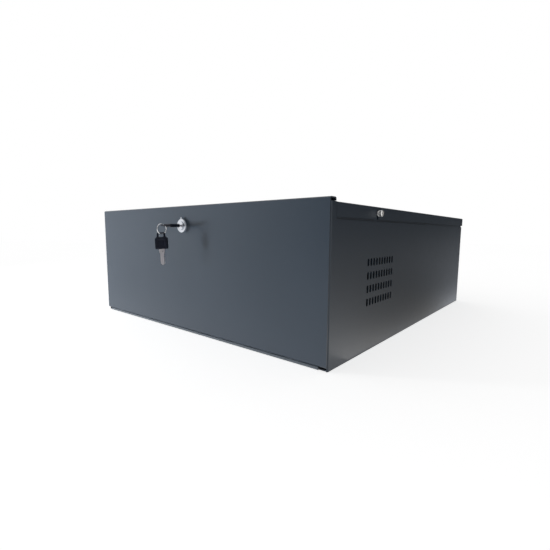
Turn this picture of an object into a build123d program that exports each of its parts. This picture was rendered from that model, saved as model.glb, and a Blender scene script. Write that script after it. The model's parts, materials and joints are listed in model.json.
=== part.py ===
"""Lock box for a video recorder: steel case, drop-down front door, rear-hinged lid, cam lock with keys.

Millimetres, +Z up. The front looks along -Y, +X is the right side seen from the front, and the origin
is the middle of the floor's underside, halfway between the door's face and the lid's rear flange.
"""
import os
from math import atan2, cos, degrees, radians, sin

from build123d import *

# Outside sizes: 21 in wide, 24 in deep, 8 in high, in 16 gauge sheet
WIDTH = 533.4
DEPTH = 609.6
HEIGHT = 203.2
SHEET = 1.5

# Bends and fits
BEND_R = 2.5
LID_BEND_R = 2.0
SEAM_GAP = 0.4
SKIRT_GAP = 0.9
REST_GAP = 0.2
DOOR_GAP = 1.0
RUN_CLEAR = 0.05
HOLE_CLEAR = 0.3

# Levels
LID_DROP = 4.8
LID_TOP_Z = HEIGHT - LID_DROP
LID_FLANGE = 17.2
SHELF_GAP = 3.0
DOOR_BOTTOM_Z = 4.8
RAIL_LIP = 13.4

# Depths of bends and flanges
DOOR_RETURN = 13.2
DOOR_LIP = 4.4
POST_DEPTH = 12.0
SIDE_FRONT_FLANGE = 10.7
FLANGE = 12.0
TOP_RETURN = 11.8
REAR_OVERHANG = 7.0

# Planes worked out from the sizes above
SIDE_X = WIDTH / 2
SIDE_IN_X = SIDE_X - SHEET
DOOR_Y = -DEPTH / 2
DOOR_IN_Y = DOOR_Y + SHEET
FRONT_Y = DOOR_IN_Y + DOOR_GAP
POST_Y = FRONT_Y + POST_DEPTH
LID_FRONT_Y = POST_Y + SEAM_GAP
LID_REAR_Y = DEPTH / 2
REAR_Y = LID_REAR_Y - REAR_OVERHANG
REAR_IN_Y = REAR_Y - SHEET
LID_UNDER_Z = LID_TOP_Z - SHEET
LID_FLANGE_Z = LID_TOP_Z - LID_FLANGE
RAIL_LIP_Z = LID_TOP_Z - RAIL_LIP
JOGGLE_Z = LID_FLANGE_Z - SHELF_GAP
JOGGLE_X = SIDE_IN_X - SKIRT_GAP
JOGGLE_IN_X = JOGGLE_X - SHEET
JOGGLE_TOP_Z = LID_UNDER_Z - REST_GAP
OPENING_X = SIDE_X - SIDE_FRONT_FLANGE

# Side vents: four rows of ten upright slots
VENT_ROWS = 4
VENT_COLUMNS = 10
VENT_ROW_PITCH = 18.2
VENT_PITCH = 9.0
VENT_SLOT = (5.4, 10.8)
VENT_SETBACK = 142.3
VENT_LEVEL = 96.2
VENT_CENTRE = (DOOR_Y + VENT_SETBACK, VENT_LEVEL)

# Floor fixing holes
FIXING_SPACING_X = 440.0
FIXING_SPACING_Y = 480.0
FIXING_HOLE_R = 3.5

# Door hinge, a continuous hinge with its leaves folded flat under the door's bottom return
DOOR_LEAF = 0.9
DOOR_BARREL_R = 2.05
DOOR_PIN_R = 1.15
DOOR_HINGE_LENGTH = 510.0
DOOR_KNUCKLES = 21
DOOR_BODY_LEAF_WIDTH = 15.0
DOOR_DOOR_LEAF_WIDTH = 9.6
DOOR_AXIS = (DOOR_Y + 1.9, 2.5)

# Lid hinge, a continuous hinge between the rear panel and the lid's rear flange
LID_LEAF = 1.0
LID_BARREL_R = 2.5
LID_PIN_R = 1.25
LID_HINGE_LENGTH = 500.0
LID_KNUCKLES = 13
LID_LEAF_WIDTH = 15.5
LID_AXIS_DROP = 20.6
LID_AXIS = (REAR_Y + (REAR_OVERHANG - SHEET) / 2, LID_TOP_Z - LID_AXIS_DROP)
KNUCKLE_GAP = 0.3
RIVET_R = 1.6
RIVET_HEAD_R = 3.0
RIVET_HEAD = 1.1
RIVET_COUNT = 6
RIVET_RISE = 12.2
RIVET_Z = LID_AXIS[1] + RIVET_RISE

# Thumbscrews that hold the lid's side flanges
THUMB_SETBACK = 124.8
THUMB_RISE = 8.0
THUMB_Y = DOOR_Y + THUMB_SETBACK
THUMB_Z = LID_FLANGE_Z + THUMB_RISE
THUMB_SHANK_R = 2.0
THUMB_HEAD_R = 4.1
THUMB_HEAD = 6.4
THUMB_COLLAR_R = 3.2
THUMB_COLLAR = 1.0
THUMB_SLOT_R = 2.6
THUMB_TIP = 2.0
CLINCH_R = 4.6
CLINCH = 4.0

# Lock
LOCK_DROP = 31.2
LOCK_Z = HEIGHT - LOCK_DROP
BEZEL_R = 11.0
BEZEL = 5.8
BEZEL_DISH = 0.8
POINTER = (3.6, 2.5)
BARREL_R = 9.4
BARREL_FLATS = 16.4
PLUG_R = 6.0
PLUG_FACE = 0.2
NUT_FLATS = 24.0
NUT = 4.0
CAM = 2.0
CAM_HUB_R = 8.0
CAM_ARM = 9.0
CAM_REACH = 21.0
CAM_SQUARE = 6.4
KEYWAY = (7.2, 2.4)
KEYWAY_DEPTH = 16.6
CAM_SETBACK = 9.9
CAM_Y = POST_Y + CAM_SETBACK
CAM_FINGER = 5.6
KEEPER_WIDTH = 18.0
KEEPER_RISE = 14.0
KEEPER_TAB_GAP = 1.0
KEEPER_TAB_Z = LOCK_Z + KEEPER_RISE
KEEPER_TAB_Y = CAM_Y - KEEPER_TAB_GAP

# Keys and their ring
BOW = (19.6, 17.4, 4.6)
BOW_SLOT = (10.6, 5.0)
BOW_BRIDGE = 2.0
BOW_WEB = 0.8
BOW_TAB = (15.0, BOW_WEB + BOW_SLOT[1] + BOW_BRIDGE, 1.8)
SHOULDER = (9.0, 7.6)
BLADE = (6.6, 16.3)
BLADE_THICKNESS = 2.0
KEY_STANDOFF = 13.8
SPARE_TURN = 30.0
SPARE_TILT = 5.0
SPARE_SHIFT = 1.9
RING_R = 7.7
RING_WIRE_R = 0.7
RING_X = -0.5
RING_GAP = 0.6
RING_OUT = 1.2
RING_DROP = RING_R - RING_WIRE_R - BOW_TAB[2] / 2 - RING_GAP
RING_PIVOT_Y = DOOR_Y - KEY_STANDOFF - BOW[1] - BOW_TAB[1] + BOW_BRIDGE / 2
RING_Y = RING_PIVOT_Y - RING_OUT
RING_Z = LOCK_Z - RING_DROP
SPARE_PIVOT_Z = RING_Z - RING_R

# Fan on the rear panel
FAN_SIZE = 120.0
FAN_DEPTH = 25.0
FAN_INSET = 136.7
FAN_LEVEL = 98.0
FAN_CENTRE = (SIDE_X - FAN_INSET, FAN_LEVEL)
FAN_WALL = 2.5
FAN_BORE_R = FAN_SIZE / 2 - FAN_WALL
FAN_OPENING_LIP = 1.5
FAN_OPENING_R = FAN_BORE_R - FAN_OPENING_LIP
FAN_HOLE_INSET = 7.5
FAN_HOLE_PITCH = FAN_SIZE - 2 * FAN_HOLE_INSET
FAN_HUB_R = 20.0
FAN_BLADES = 7
FAN_TIP_GAP = 2.0
FAN_BLADE_R = FAN_BORE_R - FAN_TIP_GAP
FAN_AXLE_R = 1.5
GUARD_WIRE_R = 1.0
GUARD_RING_COUNT = 4
GUARD_RING_STEP = FAN_OPENING_R / GUARD_RING_COUNT
GUARD_EYE_R = 4.6
FAN_SCREW_R = 2.0
FAN_SCREW_HEAD = (3.8, 1.8)
FAN_NUT = (7.0, 3.0)

# Cable grommets in the rear panel
GROMMET_INSET = 76.7
GROMMET_PITCH = 60.0
GROMMET_X = (GROMMET_INSET - SIDE_X, GROMMET_INSET + GROMMET_PITCH - SIDE_X)
GROMMET_Z = 45.0
GROMMET_BORE_R = 11.0
GROMMET_HOLE_R = 16.0
GROMMET_LIP_R = 18.5
GROMMET_LIP = 1.8


def block(x0, x1, y0, y1, z0, z1):
    """A plain plate or bar between two corners."""
    size = (x1 - x0, y1 - y0, z1 - z0)
    centre = ((x0 + x1) / 2, (y0 + y1) / 2, (z0 + z1) / 2)
    return Pos(*centre) * Box(*size)


def rod_x(x0, x1, y, z, radius):
    """A round bar along X."""
    return Pos((x0 + x1) / 2, y, z) * Rot(0, 90, 0) * Cylinder(radius, x1 - x0)


def rod_y(y0, y1, x, z, radius):
    """A round bar along Y."""
    return Pos(x, (y0 + y1) / 2, z) * Rot(90, 0, 0) * Cylinder(radius, y1 - y0)


def plate_y(sketch, y0, y1):
    """A sketch drawn in X and Z, given its thickness from y0 back to y1."""
    return Pos(0, y1, 0) * extrude(Plane.XZ * sketch, y1 - y0)


def bent_strip(points, radius, thickness, length):
    """Sheet bent along a path in Y and Z, rounded at its bends, and as long as given in X."""
    path = FilletPolyline(*points, radius=radius)
    section = offset(path, amount=thickness / 2, side=Side.BOTH)
    face = make_face(section.edges())
    return Pos(-length / 2, 0, 0) * extrude(Plane.YZ * face, length)


def save(shape, name):
    """Writes one sub-part."""
    export_step(shape, f"parts/{name}.step")


# Case

def floor_pan():
    """Floor with turned-up side flanges, and the four fixing holes."""
    front = DOOR_AXIS[0] + DOOR_BARREL_R + HOLE_CLEAR
    pan = block(-SIDE_IN_X, SIDE_IN_X, front, REAR_IN_Y, 0, SHEET)
    for side in (-1, 1):
        outer, inner = side * SIDE_IN_X, side * (SIDE_IN_X - SHEET)
        pan += block(min(outer, inner), max(outer, inner), POST_Y, REAR_IN_Y - FLANGE - SEAM_GAP, 0, FLANGE)
    edges = pan.edges().filter_by(Axis.Y).group_by(Axis.Z)[0].filter_by(lambda e: e.length > DEPTH / 2)
    pan = fillet(edges, SHEET * 0.6)
    holes = GridLocations(FIXING_SPACING_X, FIXING_SPACING_Y, 2, 2)
    return pan - holes * Cylinder(FIXING_HOLE_R, 4 * SHEET)


def vent_slots():
    """Cutters for the rows of slots in the right side."""
    slot = Rot(0, 0, 90) * SlotOverall(VENT_SLOT[1], VENT_SLOT[0])
    grid = GridLocations(VENT_PITCH, VENT_ROW_PITCH, VENT_COLUMNS, VENT_ROWS)
    pattern = Pos(*VENT_CENTRE) * (Sketch() + grid * slot)
    return Pos(SIDE_X - 3 * SHEET, 0, 0) * extrude(Plane.YZ * pattern, 6 * SHEET)


def side_panel(side):
    """Side wall with its rounded front post, the joggled flange behind the lid's skirt, and the vents."""
    wall = block(SIDE_IN_X, SIDE_X, FRONT_Y, REAR_Y, 0, JOGGLE_Z)
    post = block(SIDE_IN_X, SIDE_X, FRONT_Y, POST_Y, 0, LID_TOP_Z)
    front = block(OPENING_X, SIDE_X, FRONT_Y, FRONT_Y + SHEET, DOOR_BOTTOM_Z + BEND_R, LID_TOP_Z)
    skin = wall + post + front
    corner = skin.edges().filter_by(Axis.Z)
    outer = corner.filter_by(lambda e: e.center().X > SIDE_X - 0.1 and e.center().Y < FRONT_Y + 0.1)
    skin = fillet(outer, BEND_R)
    shelf = block(JOGGLE_IN_X, SIDE_IN_X, POST_Y, REAR_IN_Y, JOGGLE_Z - SHEET, JOGGLE_Z)
    rise = block(JOGGLE_IN_X, JOGGLE_X, POST_Y, REAR_IN_Y, JOGGLE_Z, JOGGLE_TOP_Z)
    top_front = LID_FRONT_Y + 2 * SHEET
    top = block(JOGGLE_X - TOP_RETURN, JOGGLE_X, top_front, REAR_IN_Y, JOGGLE_TOP_Z - SHEET, JOGGLE_TOP_Z)
    panel = skin + shelf + rise + top
    screw_hole = rod_x(JOGGLE_IN_X - 1, JOGGLE_X + 1, THUMB_Y, THUMB_Z, THUMB_SHANK_R + HOLE_CLEAR)
    panel = panel - screw_hole - vent_slots()
    return panel if side > 0 else mirror(panel, about=Plane.YZ)


def rear_panel():
    """Rear wall between the sides, with the fan's opening, the cable holes and the rivet holes."""
    panel = block(-SIDE_IN_X, SIDE_IN_X, REAR_IN_Y, REAR_Y, 0, JOGGLE_TOP_Z)
    cuts = rod_y(REAR_IN_Y - 1, REAR_Y + 1, *FAN_CENTRE, FAN_OPENING_R)
    for x in GROMMET_X:
        cuts += rod_y(REAR_IN_Y - 1, REAR_Y + 1, x, GROMMET_Z, GROMMET_HOLE_R)
    for x, z in fan_corners():
        cuts += rod_y(REAR_IN_Y - 1, REAR_Y + 1, x, z, FAN_SCREW_R + HOLE_CLEAR)
    for x in rivet_places():
        cuts += rod_y(REAR_IN_Y - 1, REAR_Y + 1, x, RIVET_Z, RIVET_R)
    return panel - cuts


def front_top_rail():
    """Channel across the top of the front opening; the cam locks behind its rear lip."""
    top = block(-SIDE_IN_X, SIDE_IN_X, FRONT_Y, POST_Y, LID_UNDER_Z, LID_TOP_Z)
    front = block(-OPENING_X, OPENING_X, FRONT_Y, FRONT_Y + SHEET, RAIL_LIP_Z, LID_TOP_Z)
    rear = block(-SIDE_IN_X, SIDE_IN_X, POST_Y - SHEET, POST_Y, RAIL_LIP_Z, LID_TOP_Z)
    rail = top + front + rear
    post_corner = block(OPENING_X, SIDE_IN_X, FRONT_Y, FRONT_Y + SHEET, RAIL_LIP_Z, LID_TOP_Z)
    return rail - post_corner - mirror(post_corner, about=Plane.YZ)


# Front door and its hinge

def front_door():
    """Flat front plate with rounded bends into a bottom return and a top return with a turned-down lip."""
    half = SHEET / 2
    y, back = DOOR_Y + half, DOOR_Y + DOOR_RETURN
    low, high = DOOR_BOTTOM_Z + half, HEIGHT - half
    lip = HEIGHT - DOOR_LIP + half
    bend = BEND_R - half
    path = [(back, low), (y, low), (y, high), (back - half, high), (back - half, lip)]
    panel = bent_strip(path, bend, SHEET, WIDTH)
    notch_x = DOOR_HINGE_LENGTH / 2
    for side in (-1, 1):
        x0, x1 = sorted((side * notch_x, side * (SIDE_X + 1)))
        panel -= block(x0, x1, DOOR_IN_Y, back + 1, 0, DOOR_BOTTOM_Z + BEND_R)
    return panel - lock_hole()


def lock_hole():
    """Double-D cut-out for the lock's barrel."""
    hole = Circle(BARREL_R + HOLE_CLEAR) & Rectangle(4 * BARREL_R, BARREL_FLATS + 2 * HOLE_CLEAR)
    return plate_y(Pos(0, LOCK_Z) * hole, DOOR_Y - 1, DOOR_IN_Y + 1)


def knuckle_spans(length, count):
    """Ends of each knuckle along X, with a small gap between neighbours."""
    pitch = length / count
    starts = [-length / 2 + i * pitch for i in range(count)]
    return [(x + KNUCKLE_GAP / 2, x + pitch - KNUCKLE_GAP / 2) for x in starts]


def hinge_half(leaf, spans, axis, barrel_r, pin_r):
    """Leaf plus its share of the knuckles, bored for the pin and cleared for the other half's knuckles."""
    half = leaf
    for x0, x1 in spans["own"]:
        half += rod_x(x0, x1, *axis, barrel_r)
    for x0, x1 in spans["other"]:
        reach = barrel_r + HOLE_CLEAR
        half -= block(x0 - KNUCKLE_GAP, x1 + KNUCKLE_GAP, axis[0] - reach, axis[0] + reach,
                      axis[1] - reach, axis[1] + reach)
    length = spans["own"][-1][1] - spans["own"][0][0]
    return half - rod_x(-length, length, *axis, pin_r)


def split_spans(length, count, first):
    """The knuckles shared out in turn between the two halves."""
    spans = knuckle_spans(length, count)
    return {"own": spans[first::2], "other": spans[1 - first::2]}


def door_hinge_body_leaf():
    """Lower leaf, spot-welded on the floor's front edge."""
    y, z = DOOR_AXIS
    half = DOOR_HINGE_LENGTH / 2
    leaf = block(-half, half, y, y + DOOR_BODY_LEAF_WIDTH, SHEET, SHEET + DOOR_LEAF)
    spans = split_spans(DOOR_HINGE_LENGTH, DOOR_KNUCKLES, 0)
    return hinge_half(leaf, spans, DOOR_AXIS, DOOR_BARREL_R, DOOR_PIN_R)


def door_hinge_door_leaf():
    """Upper leaf, spot-welded under the door's bottom return."""
    y, z = DOOR_AXIS
    half = DOOR_HINGE_LENGTH / 2
    leaf = block(-half, half, y, y + DOOR_DOOR_LEAF_WIDTH, DOOR_BOTTOM_Z - DOOR_LEAF, DOOR_BOTTOM_Z)
    spans = split_spans(DOOR_HINGE_LENGTH, DOOR_KNUCKLES, 1)
    return hinge_half(leaf, spans, DOOR_AXIS, DOOR_BARREL_R, DOOR_PIN_R + RUN_CLEAR)


def hinge_pin(axis, length, pin_r):
    """Pin through all of a hinge's knuckles."""
    return rod_x(-length / 2, length / 2, *axis, pin_r)


# Lid and its hinge

def top_lid():
    """Lid with side and rear skirts, a front lip behind the rail, and open slots for the thumbscrews."""
    lid = block(-SIDE_X, SIDE_X, LID_FRONT_Y, LID_REAR_Y, LID_FLANGE_Z, LID_TOP_Z)
    lid -= block(-SIDE_IN_X, SIDE_IN_X, LID_FRONT_Y - 1, LID_REAR_Y - SHEET, LID_FLANGE_Z - 1, LID_UNDER_Z)
    top_edges = lid.edges().group_by(Axis.Z)[-1]
    sides = top_edges.filter_by(Axis.Y)
    rear = top_edges.filter_by(Axis.X).sort_by(Axis.Y)[-1:]
    lid = fillet(sides + rear, LID_BEND_R)
    lip_x = JOGGLE_X - TOP_RETURN - SHEET
    lid += block(-lip_x, lip_x, LID_FRONT_Y, LID_FRONT_Y + SHEET, RAIL_LIP_Z, LID_TOP_Z)
    slot = rod_x(-SIDE_X - 1, SIDE_X + 1, THUMB_Y, THUMB_Z, THUMB_SLOT_R)
    slot += block(-SIDE_X - 1, SIDE_X + 1, THUMB_Y - THUMB_SLOT_R, THUMB_Y + THUMB_SLOT_R,
                  LID_FLANGE_Z - 1, THUMB_Z)
    slot -= block(-JOGGLE_X, JOGGLE_X, THUMB_Y - CLINCH_R, THUMB_Y + CLINCH_R, 0, HEIGHT)
    lid -= slot
    for x in rivet_places(1):
        lid -= rod_y(LID_REAR_Y - SHEET - 1, LID_REAR_Y + 1, x, RIVET_Z, RIVET_R)
    return lid


def rivet_places(row=0):
    """Rivets along the lid's hinge; the lid's row stands half a step from the rear panel's row."""
    step = LID_HINGE_LENGTH / RIVET_COUNT
    count = RIVET_COUNT - row
    return [(i - (count - 1) / 2) * step for i in range(count)]


def lid_hinge_half(row, y_face, y_leaf, pin_hole_r):
    """One leaf of the lid's hinge, standing up from the barrel, with its rivet holes."""
    y0, y1 = sorted((y_face, y_leaf))
    half = LID_HINGE_LENGTH / 2
    leaf = block(-half, half, y0, y1, LID_AXIS[1], LID_AXIS[1] + LID_LEAF_WIDTH)
    for x in rivet_places(row):
        leaf -= rod_y(y0 - 1, y1 + 1, x, RIVET_Z, RIVET_R)
    spans = split_spans(LID_HINGE_LENGTH, LID_KNUCKLES, row)
    return hinge_half(leaf, spans, LID_AXIS, LID_BARREL_R, pin_hole_r)


def lid_hinge_body_leaf():
    """Leaf riveted to the rear panel."""
    return lid_hinge_half(0, REAR_Y, REAR_Y + LID_LEAF, LID_PIN_R)


def lid_hinge_lid_leaf():
    """Leaf riveted to the lid's rear skirt."""
    inner = LID_REAR_Y - SHEET
    return lid_hinge_half(1, inner, inner - LID_LEAF, LID_PIN_R + RUN_CLEAR)


def rivets(row, y_head, y_tail):
    """Blind rivets: a domed head outside and a flat set head inside."""
    out = 1 if y_head > y_tail else -1
    group = []
    for x in rivet_places(row):
        y0, y1 = sorted((y_head, y_tail))
        shank = rod_y(y0, y1, x, RIVET_Z, RIVET_R)
        dome = Pos(x, y_head, RIVET_Z) * Rot(-90 * out, 0, 0) * Cone(
            RIVET_HEAD_R, RIVET_HEAD_R * 0.6, RIVET_HEAD, align=(Align.CENTER, Align.CENTER, Align.MIN))
        tail = Pos(x, y_tail, RIVET_Z) * Rot(90 * out, 0, 0) * Cone(
            RIVET_HEAD_R * 0.85, RIVET_HEAD_R * 0.7, RIVET_HEAD, align=(Align.CENTER, Align.CENTER, Align.MIN))
        group.append(shank + dome + tail)
    return Compound(group)


def lid_keeper():
    """Angle welded behind the lid's lip; the cam's finger closes over its tab."""
    back = LID_FRONT_Y + SHEET
    half = KEEPER_WIDTH / 2
    leg = block(-half, half, back, back + SHEET, KEEPER_TAB_Z, LID_UNDER_Z - REST_GAP)
    tab = block(-half, half, back, KEEPER_TAB_Y, KEEPER_TAB_Z, KEEPER_TAB_Z + SHEET)
    return leg + tab


# Thumbscrews

def thumbscrew():
    """Knurled captive screw for the right side."""
    seat = SIDE_X + REST_GAP
    shank = rod_x(JOGGLE_IN_X - CLINCH - THUMB_TIP, seat, THUMB_Y, THUMB_Z, THUMB_SHANK_R)
    collar = rod_x(seat, seat + THUMB_COLLAR, THUMB_Y, THUMB_Z, THUMB_COLLAR_R)
    head = rod_x(seat + THUMB_COLLAR, seat + THUMB_COLLAR + THUMB_HEAD, THUMB_Y, THUMB_Z, THUMB_HEAD_R)
    outer = head.faces().sort_by(Axis.X)[-1].edges()
    return shank + collar + chamfer(outer, 0.8)


def clinch_nuts():
    """Pressed nuts behind the joggled flanges, one each side."""
    nut = rod_x(JOGGLE_IN_X - CLINCH, JOGGLE_IN_X, THUMB_Y, THUMB_Z, CLINCH_R)
    nut -= rod_x(JOGGLE_IN_X - CLINCH - 1, JOGGLE_IN_X + 1, THUMB_Y, THUMB_Z, THUMB_SHANK_R + RUN_CLEAR)
    return Compound([nut, mirror(nut, about=Plane.YZ)])


# Lock

def lock_housing():
    """Bezel with a rounded rim, a dished face and a small pointer, on a double-D barrel."""
    rim_r, floor_r = BEZEL_R - 1.4, PLUG_R + 0.8
    with BuildSketch() as profile:
        with BuildLine():
            Polyline((0, 0), (BEZEL_R, 0), (BEZEL_R, BEZEL * 0.55))
            ThreePointArc((BEZEL_R, BEZEL * 0.55), (BEZEL_R - 0.4, BEZEL * 0.85), (rim_r, BEZEL))
            Polyline((rim_r, BEZEL), (floor_r, BEZEL - BEZEL_DISH), (0, BEZEL - BEZEL_DISH), (0, 0))
        make_face()
    bezel = revolve(Plane.XZ * profile.sketch, Axis.Z)
    bezel = Pos(0, DOOR_Y, LOCK_Z) * Rot(90, 0, 0) * bezel
    barrel_end = CAM_Y - REST_GAP
    flats = Circle(BARREL_R) & Rectangle(4 * BARREL_R, BARREL_FLATS)
    barrel = plate_y(Pos(0, LOCK_Z) * flats, DOOR_Y, barrel_end)
    width, rise = POINTER
    lug = Pos(0, BEZEL_R + rise - width / 2) * Circle(width / 2)
    lug += Pos(0, BEZEL_R - 0.5) * Rectangle(width, 2 * rise - width + 1)
    pointer = plate_y(Pos(0, LOCK_Z) * lug, DOOR_Y - BEZEL * 0.9, DOOR_Y - BEZEL * 0.3)
    bore = rod_y(DOOR_Y - BEZEL - 1, barrel_end + 1, 0, LOCK_Z, PLUG_R + RUN_CLEAR)
    return bezel + barrel + pointer - bore


def lock_nut():
    """Hexagon nut that clamps the lock to the door."""
    hexagon = RegularPolygon(NUT_FLATS / 2, 6, major_radius=False)
    nut = plate_y(Pos(0, LOCK_Z) * hexagon, DOOR_IN_Y, DOOR_IN_Y + NUT)
    barrel = Circle(BARREL_R + RUN_CLEAR) & Rectangle(4 * BARREL_R, BARREL_FLATS + 2 * RUN_CLEAR)
    return nut - plate_y(Pos(0, LOCK_Z) * barrel, DOOR_IN_Y - 1, DOOR_IN_Y + NUT + 1)


def lock_plug():
    """Turning plug with a level keyway in front and a square end for the cam."""
    face = DOOR_Y - BEZEL - PLUG_FACE
    plug = rod_y(face, CAM_Y, 0, LOCK_Z, PLUG_R)
    half = CAM_SQUARE / 2
    plug += block(-half, half, CAM_Y, CAM_Y + CAM, LOCK_Z - half, LOCK_Z + half)
    width, height = KEYWAY
    plug -= block(-width / 2, width / 2, face - 1, face + KEYWAY_DEPTH, LOCK_Z - height / 2, LOCK_Z + height / 2)
    return plug - rod_y(CAM_Y - 6, CAM_Y + CAM + 1, 0, LOCK_Z, 1.5)


def lock_cam():
    """Cam with a forward finger: behind the rail and over the lid's keeper once turned up."""
    arm = Circle(CAM_HUB_R) + Pos(CAM_REACH / 2, 0) * Rectangle(CAM_REACH, CAM_ARM)
    arm -= Rectangle(CAM_SQUARE + 0.1, CAM_SQUARE + 0.1)
    cam = plate_y(Pos(0, LOCK_Z) * arm, CAM_Y, CAM_Y + CAM)
    half = CAM_ARM / 2
    return cam + block(CAM_REACH - CAM, CAM_REACH, CAM_Y - CAM_FINGER, CAM_Y, LOCK_Z - half, LOCK_Z + half)


def cam_screw():
    """Screw that holds the cam on the plug."""
    back = CAM_Y + CAM
    head = rod_y(back, back + 2.4, 0, LOCK_Z, 4.4)
    head = chamfer(head.faces().sort_by(Axis.Y)[-1].edges(), 0.9)
    return head + rod_y(CAM_Y - 6, back, 0, LOCK_Z, 1.5)


# Keys, drawn flat in X and Y with the blade's root at the origin, the blade along +Y and the bow along -Y

def flat_bow():
    """Plastic bow: a thick square grip that runs into a thin sloped tab with a wide slot for the ring."""
    width, length, thickness = BOW
    grip = extrude(Pos(0, -length / 2) * RectangleRounded(width, length, 2.0), thickness / 2, both=True)
    faces = grip.faces().filter_by(Axis.Z)
    grip = chamfer(faces[0].edges() + faces[1].edges(), 0.6)
    panel = Pos(0, -length / 2) * RectangleRounded(width - 6, length - 6, 1.5)
    for side in (-1, 1):
        grip -= Pos(0, 0, side * thickness / 2) * extrude(panel, 0.5, both=True)
    tab_width, tab_length, tab_thickness = BOW_TAB
    foot, crown = width / 2 - 1.0, tab_width / 2
    end = -length - tab_length
    slope = Polyline((-foot, 1.0 - length), (-foot, -length), (-crown, end), (crown, end), (foot, -length),
                     (foot, 1.0 - length), close=True)
    tab = make_face(slope.edges())
    tab = fillet(tab.vertices().group_by(Axis.Y)[0], 2.0)
    slot = Pos(0, -length - BOW_WEB - BOW_SLOT[1] / 2) * RectangleRounded(*BOW_SLOT, 0.9)
    return grip + extrude(tab, tab_thickness / 2, both=True) - extrude(slot, thickness, both=True)


def flat_blade():
    """Steel blade: tapering shoulder, then the bitted blade with five cuts and a pointed tip."""
    w, length = BLADE[0] / 2, BLADE[1]
    s, shoulder = SHOULDER[0] / 2, SHOULDER[1]
    end = shoulder + length
    points = [(-s, 0), (s, 0), (s, shoulder * 0.4), (w, shoulder)]
    cuts = (0.9, 1.5, 0.6, 1.3, 1.0)
    step = (length - 3.0) / len(cuts)
    for i, cut in enumerate(cuts):
        y = shoulder + i * step
        points += [(w, y + step * 0.15), (w - cut, y + step * 0.4), (w - cut, y + step * 0.75), (w, y + step)]
    points += [(w - 0.6, end - 2.0), (0.8, end), (-0.8, end), (-w, end - 2.4), (-w, shoulder),
               (-s, shoulder * 0.4), (-s, 0)]
    outline = make_face(Polyline(*points).edges())
    hole = Pos(1.5, shoulder * 0.45) * Circle(1.0)
    return extrude(outline - hole, BLADE_THICKNESS / 2, both=True)


def key_place():
    """The key in the lock lies level, its bow standing out in front of the door."""
    return Pos(0, DOOR_Y - KEY_STANDOFF, LOCK_Z)


def spare_place():
    """The spare key hangs off-centre from the ring, so it tilts; its bow is up and faces front right."""
    slot_top = BOW[1] + BOW_WEB + BOW_SLOT[1]
    down = RING_WIRE_R + HOLE_CLEAR - slot_top
    hung = Pos(RING_X, RING_Y, SPARE_PIVOT_Z) * Rot(0, -SPARE_TILT, 0) * Rot(0, 0, SPARE_TURN)
    return hung * Pos(-SPARE_SHIFT, 0, down) * Rot(-90, 0, 0)


def key_ring():
    """Closed wire ring through both bows."""
    return Pos(RING_X, RING_Y, RING_Z) * Rot(0, 90, 0) * Torus(RING_R, RING_WIRE_R)


# Fan

def fan_corners():
    """Centres of the fan's four screws, in X and Z."""
    half = FAN_HOLE_PITCH / 2
    return [(FAN_CENTRE[0] + i * half, FAN_CENTRE[1] + k * half) for i in (-1, 1) for k in (-1, 1)]


def fan_frame():
    """Square frame with a round duct, four struts and the hub that carries the axle's bearing."""
    front = REAR_IN_Y - FAN_DEPTH
    outline = RectangleRounded(FAN_SIZE, FAN_SIZE, 6) - Circle(FAN_BORE_R)
    for x, z in fan_corners():
        outline -= Pos(x - FAN_CENTRE[0], z - FAN_CENTRE[1]) * Circle(FAN_SCREW_R + HOLE_CLEAR)
    frame = plate_y(Pos(*FAN_CENTRE) * outline, front, REAR_IN_Y)
    waist = RectangleRounded(FAN_SIZE + 2, FAN_SIZE + 2, 6) - Circle(FAN_BORE_R + FAN_WALL)
    frame -= plate_y(Pos(*FAN_CENTRE) * waist, front + 4.0, REAR_IN_Y - 4.0)
    hub_front = REAR_IN_Y - 4.0
    hub = rod_y(hub_front, REAR_IN_Y, *FAN_CENTRE, FAN_HUB_R)
    struts = Rectangle(2 * FAN_BORE_R + 1, 4.0) + Rectangle(4.0, 2 * FAN_BORE_R + 1)
    struts = plate_y(Pos(*FAN_CENTRE) * Rot(0, 0, 45) * struts, hub_front + 0.5, REAR_IN_Y)
    boss = rod_y(hub_front - 6.0, hub_front, *FAN_CENTRE, 5.0)
    axle_hole = rod_y(hub_front - 7.0, hub_front + 2.0, *FAN_CENTRE, FAN_AXLE_R + RUN_CLEAR)
    return frame + hub + struts + boss - axle_hole


def fan_rotor():
    """Cup hub with its axle and seven pitched blades."""
    x, z = FAN_CENTRE
    hub_back = REAR_IN_Y - 4.8
    hub_front = REAR_IN_Y - FAN_DEPTH + 1.5
    cup = rod_y(hub_front, hub_back, x, z, FAN_HUB_R)
    cup = chamfer(cup.faces().sort_by(Axis.Y)[0].edges(), 1.5)
    cup -= rod_y(hub_front + 2.0, hub_back + 1, x, z, FAN_HUB_R - 2.0)
    axle = rod_y(hub_front + 1.0, REAR_IN_Y - 2.5, x, z, FAN_AXLE_R)
    rotor = cup + axle
    for i in range(FAN_BLADES):
        rotor += Pos(x, (hub_front + hub_back) / 2, z) * Rot(0, i * 360 / FAN_BLADES, 0) * fan_blade()
    return rotor


def fan_blade():
    """One blade along +X, twisting from a steep root to a flatter tip."""
    sections = []
    for reach, chord, pitch in ((FAN_HUB_R - 1.0, 22.0, 38.0), (FAN_BLADE_R, 30.0, 26.0)):
        plane = Plane(origin=(reach, 0, 0), x_dir=(0, sin(radians(pitch)), cos(radians(pitch))), z_dir=(1, 0, 0))
        sections.append(plane * Rectangle(chord, 1.6))
    return loft(sections, ruled=True)


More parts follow.
